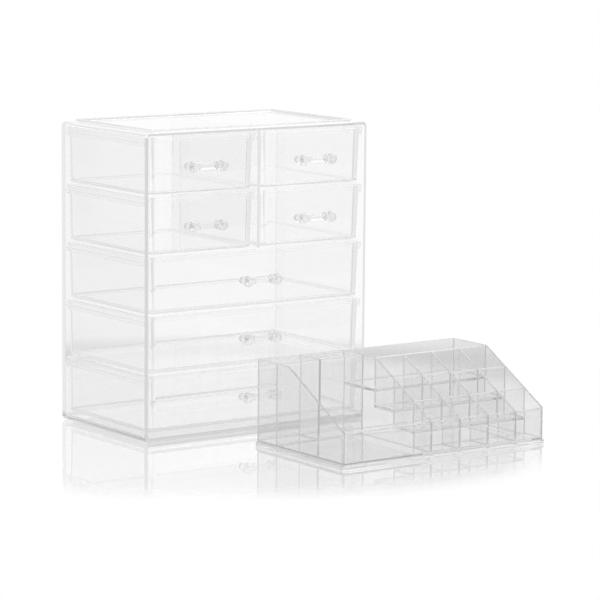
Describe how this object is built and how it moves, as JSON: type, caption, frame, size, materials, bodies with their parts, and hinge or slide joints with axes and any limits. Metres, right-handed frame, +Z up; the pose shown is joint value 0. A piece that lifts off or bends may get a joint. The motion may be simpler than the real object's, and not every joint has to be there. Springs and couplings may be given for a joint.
{
  "type": "makeup organizer",
  "caption": "Clear plastic desktop chest with hanging drawers and bar handles, and a loose stepped tray of cosmetics slots that also seats on the chest's rimmed top.",
  "frame": {"origin": "centre of the chest's flat underside, on the surface that chest and tray stand on", "axes": "+Z up, -Y the way the drawers open, +X to the right as seen from the front"},
  "size_m": [0.298, 0.3317, 0.2755],
  "materials": {
    "clear_case": "glossy clear injection-moulded polystyrene",
    "clear_drawer": "glossy clear injection-moulded polystyrene",
    "clear_handle": "glossy clear cast acrylic",
    "clear_tray": "glossy clear injection-moulded polystyrene"
  },
  "bodies": {
    "chest": {"case": "clear_case", "centre_divider": "clear_case", "left_rails": "clear_case", "right_rails": "clear_case", "divider_rails": "clear_case"},
    "top_left_drawer": {"drawer_top_left": "clear_drawer", "handle_top_left": "clear_handle"},
    "top_right_drawer": {"drawer_top_right": "clear_drawer", "handle_top_right": "clear_handle"},
    "second_left_drawer": {"drawer_second_left": "clear_drawer", "handle_second_left": "clear_handle"},
    "second_right_drawer": {"drawer_second_right": "clear_drawer", "handle_second_right": "clear_handle"},
    "third_drawer": {"drawer_third": "clear_drawer", "handle_third": "clear_handle"},
    "fourth_drawer": {"drawer_fourth": "clear_drawer", "handle_fourth": "clear_handle"},
    "fifth_drawer": {"drawer_fifth": "clear_drawer", "handle_fifth": "clear_handle"},
    "loose_tray": {"tray": "clear_tray"}
  },
  "joints": [
    {"name": "top_left_slide", "type": "slide", "parent": "chest", "child": "top_left_drawer", "axis": [0, -1, 0], "range_m": [0, 0.1]},
    {"name": "top_right_slide", "type": "slide", "parent": "chest", "child": "top_right_drawer", "axis": [0, -1, 0], "range_m": [0, 0.1]},
    {"name": "second_left_slide", "type": "slide", "parent": "chest", "child": "second_left_drawer", "axis": [0, -1, 0], "range_m": [0, 0.1]},
    {"name": "second_right_slide", "type": "slide", "parent": "chest", "child": "second_right_drawer", "axis": [0, -1, 0], "range_m": [0, 0.1]},
    {"name": "third_slide", "type": "slide", "parent": "chest", "child": "third_drawer", "axis": [0, -1, 0], "range_m": [0, 0.1]},
    {"name": "fourth_slide", "type": "slide", "parent": "chest", "child": "fourth_drawer", "axis": [0, -1, 0], "range_m": [0, 0.058]},
    {"name": "fifth_slide", "type": "slide", "parent": "chest", "child": "fifth_drawer", "axis": [0, -1, 0], "range_m": [0, 0.044]},
    {"name": "tray_lift", "type": "slide", "parent": "chest", "child": "loose_tray", "axis": [0, 0, 1], "range_m": [0, 0.3]}
  ]
}
